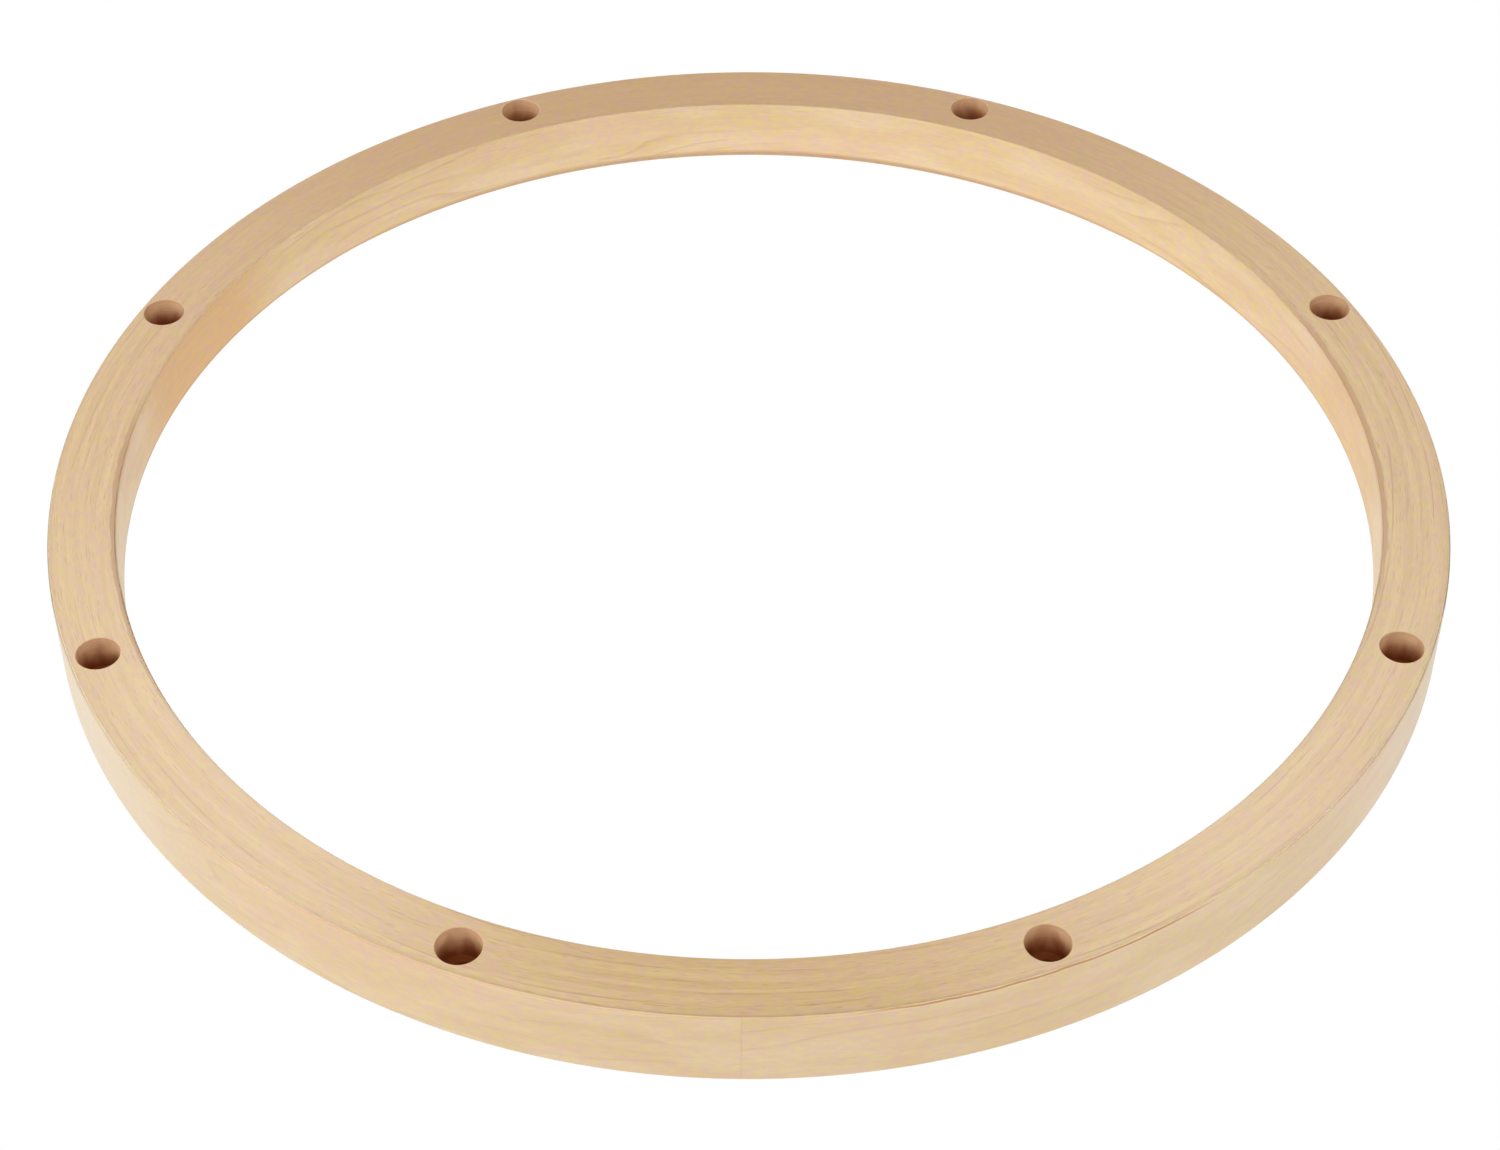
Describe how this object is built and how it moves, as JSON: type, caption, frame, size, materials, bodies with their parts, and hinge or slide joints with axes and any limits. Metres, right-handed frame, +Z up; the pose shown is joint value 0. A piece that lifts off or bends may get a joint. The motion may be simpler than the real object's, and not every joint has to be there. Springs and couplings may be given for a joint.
{
  "type": "wooden drum hoop",
  "caption": "Laminated maple hoop for a 14-inch drum, with counterbored tension rod holes round its rim and a rebate inside for the drumhead.",
  "frame": {"origin": "centre of the hoop's underside, on its axis", "axes": "+Z up along the hoop's axis, out of the counterbored face; +X half way between two rod holes"},
  "size_m": [0.3936, 0.3937, 0.0249],
  "materials": {
    "maple_inner_face": "hard maple veneer, rotary cut, under a clear satin lacquer",
    "maple_core": "hard maple, sanded edge grain under a clear satin lacquer, bare in the holes",
    "maple_outer_face": "hard maple veneer, rotary cut, under a clear satin lacquer"
  },
  "bodies": {
    "root": {"inner_face_veneer": "maple_inner_face", "core_ply_1": "maple_core", "core_ply_2": "maple_core", "core_ply_3": "maple_core", "core_ply_4_arc_1": "maple_core", "core_ply_4_arc_2": "maple_core", "core_ply_4_arc_3": "maple_core", "core_ply_4_arc_4": "maple_core", "core_ply_4_arc_5": "maple_core", "core_ply_4_arc_6": "maple_core", "core_ply_4_arc_7": "maple_core", "core_ply_4_arc_8": "maple_core", "core_ply_5_arc_1": "maple_core", "core_ply_5_arc_2": "maple_core", "core_ply_5_arc_3": "maple_core", "core_ply_5_arc_4": "maple_core", "core_ply_5_arc_5": "maple_core", "core_ply_5_arc_6": "maple_core", "core_ply_5_arc_7": "maple_core", "core_ply_5_arc_8": "maple_core", "core_ply_6": "maple_core", "core_ply_7": "maple_core", "outer_face_veneer": "maple_outer_face"}
  },
  "joints": []
}
